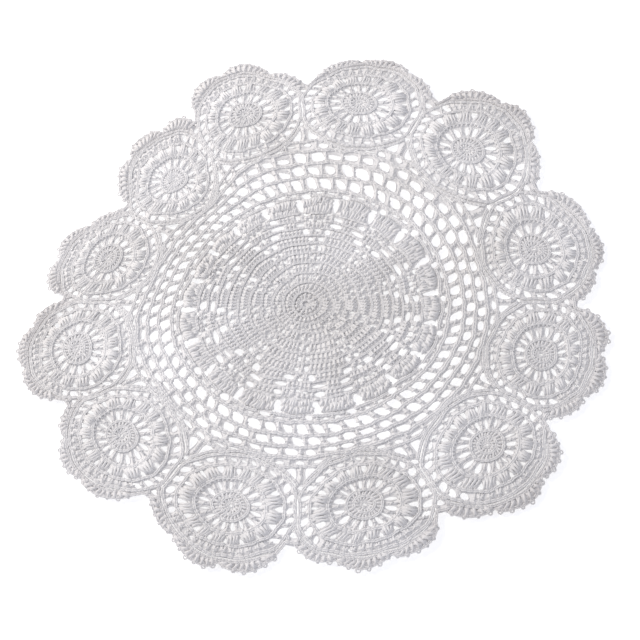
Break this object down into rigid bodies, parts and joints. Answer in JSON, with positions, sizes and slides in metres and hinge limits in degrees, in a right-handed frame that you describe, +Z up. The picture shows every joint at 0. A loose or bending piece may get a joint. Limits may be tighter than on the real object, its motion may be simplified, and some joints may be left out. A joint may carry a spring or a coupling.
{
  "type": "crochet placemat",
  "caption": "Round crocheted cotton placemat: a petalled star in an open net, wheel rosettes joined round it, and an edging of picot fans.",
  "frame": {"origin": "middle of the mat's outline, on the table surface under it; the star's centre lies 1 mm to +X and 18 mm to -Y of it", "axes": "+Z up out of the table, +X to the picture's right and +Y away from its viewer"},
  "size_m": [0.3666, 0.3752, 0.003],
  "materials": {
    "cotton_yarn": "soft white cotton yarn, tightly crocheted, dull, in cool grey-white shade",
    "edging_yarn": "the same white cotton yarn, crocheted, a little greyer where the rim has been handled"
  },
  "bodies": {
    "root": {"ground": "cotton_yarn", "rosette_01": "cotton_yarn", "rosette_02": "cotton_yarn", "rosette_03": "cotton_yarn", "rosette_04": "cotton_yarn", "rosette_05": "cotton_yarn", "rosette_06": "cotton_yarn", "rosette_07": "cotton_yarn", "rosette_08": "cotton_yarn", "rosette_09": "cotton_yarn", "rosette_10": "cotton_yarn", "rosette_11": "cotton_yarn", "rosette_12": "cotton_yarn", "edging": "edging_yarn"}
  },
  "joints": []
}
